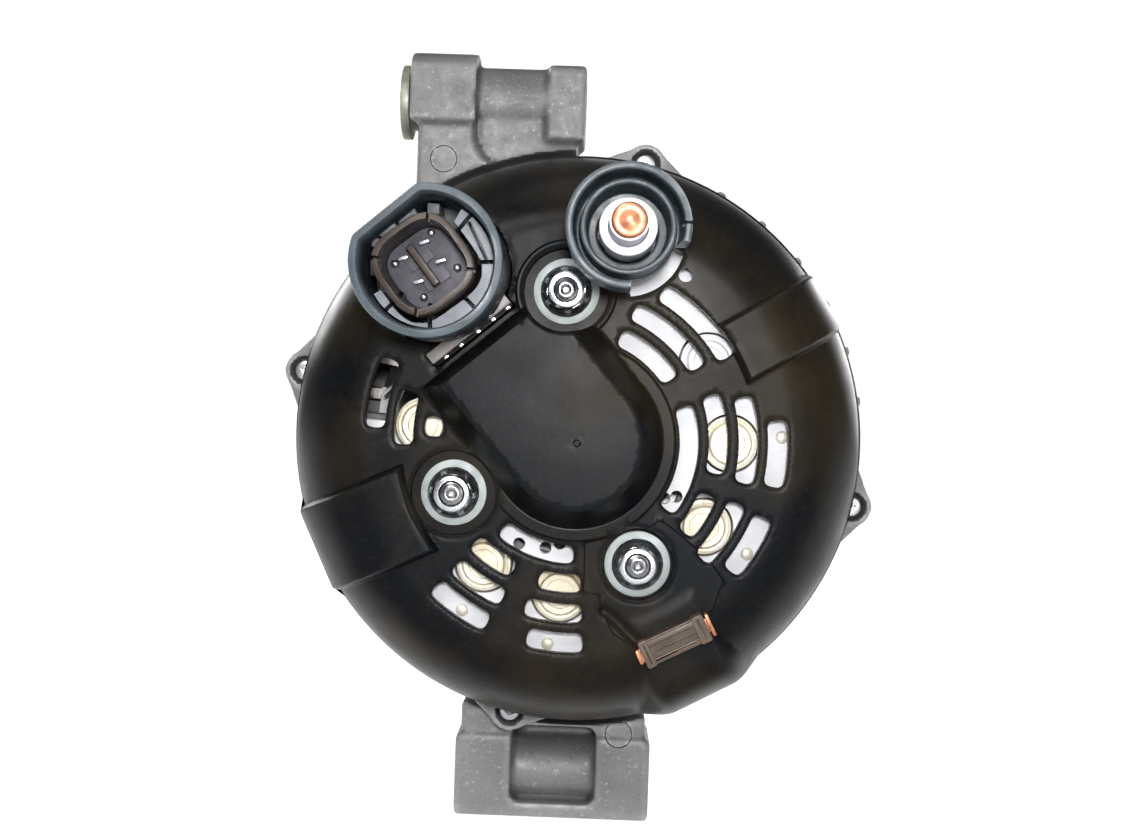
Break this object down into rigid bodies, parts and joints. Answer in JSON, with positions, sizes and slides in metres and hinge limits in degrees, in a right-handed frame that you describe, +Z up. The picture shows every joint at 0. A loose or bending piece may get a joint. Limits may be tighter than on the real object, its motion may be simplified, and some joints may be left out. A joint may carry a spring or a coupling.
{
  "type": "car alternator",
  "caption": "Car alternator with a black slotted rear cover, a plug socket, an output stud, cast housings with two cross-bored lugs, and a turning rotor with a belt pulley.",
  "frame": {"origin": "where the rotor axis meets the plane of the two mounting lugs' cross bores", "axes": "+Y along the rotor axis towards the belt pulley, +Z up through the top lug, +X to the right seen from the plastic cover"},
  "size_m": [0.141, 0.17, 0.1887],
  "materials": {
    "cover_plastic": "satin black moulding",
    "zinc_steel": "bright zinc",
    "washer_steel": "satin",
    "copper": "dull copper",
    "blue_grey_plastic": "satin",
    "brown_plastic": "satin",
    "inner_plastic": "matte",
    "carbon": "matte",
    "spring_steel": "satin",
    "fin_aluminium": "bright rolled",
    "diode_metal": "plated",
    "cast_aluminium": "as cast",
    "laminated_steel": "stacked sheets",
    "enamelled_copper": "enamelled",
    "dark_steel": "satin",
    "fan_steel": "pressed sheet",
    "brass_ring": "polished",
    "bearing_steel": "polished",
    "pulley_steel": "turned"
  },
  "bodies": {
    "housing": {"rear_cover": "cover_plastic", "cover_nut_1": "zinc_steel", "cover_nut_2": "zinc_steel", "cover_nut_3": "zinc_steel", "cover_stud_1": "zinc_steel", "cover_stud_2": "zinc_steel", "cover_stud_3": "zinc_steel", "through_bolt_1": "zinc_steel", "through_bolt_2": "zinc_steel", "through_bolt_3": "zinc_steel", "through_bolt_4": "zinc_steel", "b_terminal_collar": "zinc_steel", "lug_bush": "zinc_steel", "cover_washer_1": "washer_steel", "cover_washer_2": "washer_steel", "cover_washer_3": "washer_steel", "b_terminal_stud": "copper", "clip_strap": "copper", "b_terminal_insulator": "blue_grey_plastic", "regulator": "blue_grey_plastic", "harness_clip": "brown_plastic", "connector_insert": "brown_plastic", "terminal_bar": "brown_plastic", "brush_holder": "inner_plastic", "rectifier_block": "inner_plastic", "brush_spring_1": "spring_steel", "brush_spring_2": "spring_steel", "positive_fin": "fin_aluminium", "negative_fin": "fin_aluminium", "diode_1": "diode_metal", "diode_2": "diode_metal", "diode_3": "diode_metal", "diode_4": "diode_metal", "diode_5": "diode_metal", "diode_6": "diode_metal", "rear_housing": "cast_aluminium", "front_housing": "cast_aluminium", "stator_core": "laminated_steel", "stator_winding": "enamelled_copper", "bearing_retainer": "dark_steel", "front_bearing_outer": "bearing_steel", "rear_bearing_outer": "bearing_steel"},
    "rotor": {"rotor_shaft": "dark_steel", "pole_front": "dark_steel", "pole_rear": "dark_steel", "coil_bobbin": "inner_plastic", "field_coil": "enamelled_copper", "fan_front": "fan_steel", "fan_rear": "fan_steel", "slip_ring_core": "inner_plastic", "slip_ring_1": "brass_ring", "slip_ring_2": "brass_ring", "front_bearing_inner": "bearing_steel", "rear_bearing_inner": "bearing_steel", "pulley": "pulley_steel", "pulley_nut": "zinc_steel"},
    "front_ball_set": {"front_bearing_balls": "bearing_steel"},
    "rear_ball_set": {"rear_bearing_balls": "bearing_steel"},
    "outer_brush": {"brush_1": "carbon"},
    "inner_brush": {"brush_2": "carbon"}
  },
  "joints": [
    {"name": "rotor_spin", "type": "hinge", "parent": "housing", "child": "rotor", "pos_m": [0, 0, 0], "axis": [0, 1, 0], "continuous": true},
    {"name": "front_ball_spin", "type": "hinge", "parent": "housing", "child": "front_ball_set", "pos_m": [0, 0.051, 0], "axis": [0, 1, 0], "continuous": true},
    {"name": "rear_ball_spin", "type": "hinge", "parent": "housing", "child": "rear_ball_set", "pos_m": [0, -0.028, 0], "axis": [0, 1, 0], "continuous": true},
    {"name": "outer_brush_slide", "type": "slide", "parent": "housing", "child": "outer_brush", "axis": [-0.6494, 0, 0.7604], "range_m": [0, 0.003], "stiffness_N_per_m": 150, "springref_m": -0.012, "deforming": ["brush_spring_1"]},
    {"name": "inner_brush_slide", "type": "slide", "parent": "housing", "child": "inner_brush", "axis": [-0.6494, 0, 0.7604], "range_m": [0, 0.003], "stiffness_N_per_m": 150, "springref_m": -0.012, "deforming": ["brush_spring_2"]}
  ],
  "couplings": [
    {"joint": "front_ball_spin", "follows": "rotor_spin", "ratio": 0.3688},
    {"joint": "rear_ball_spin", "follows": "rotor_spin", "ratio": 0.3973}
  ]
}
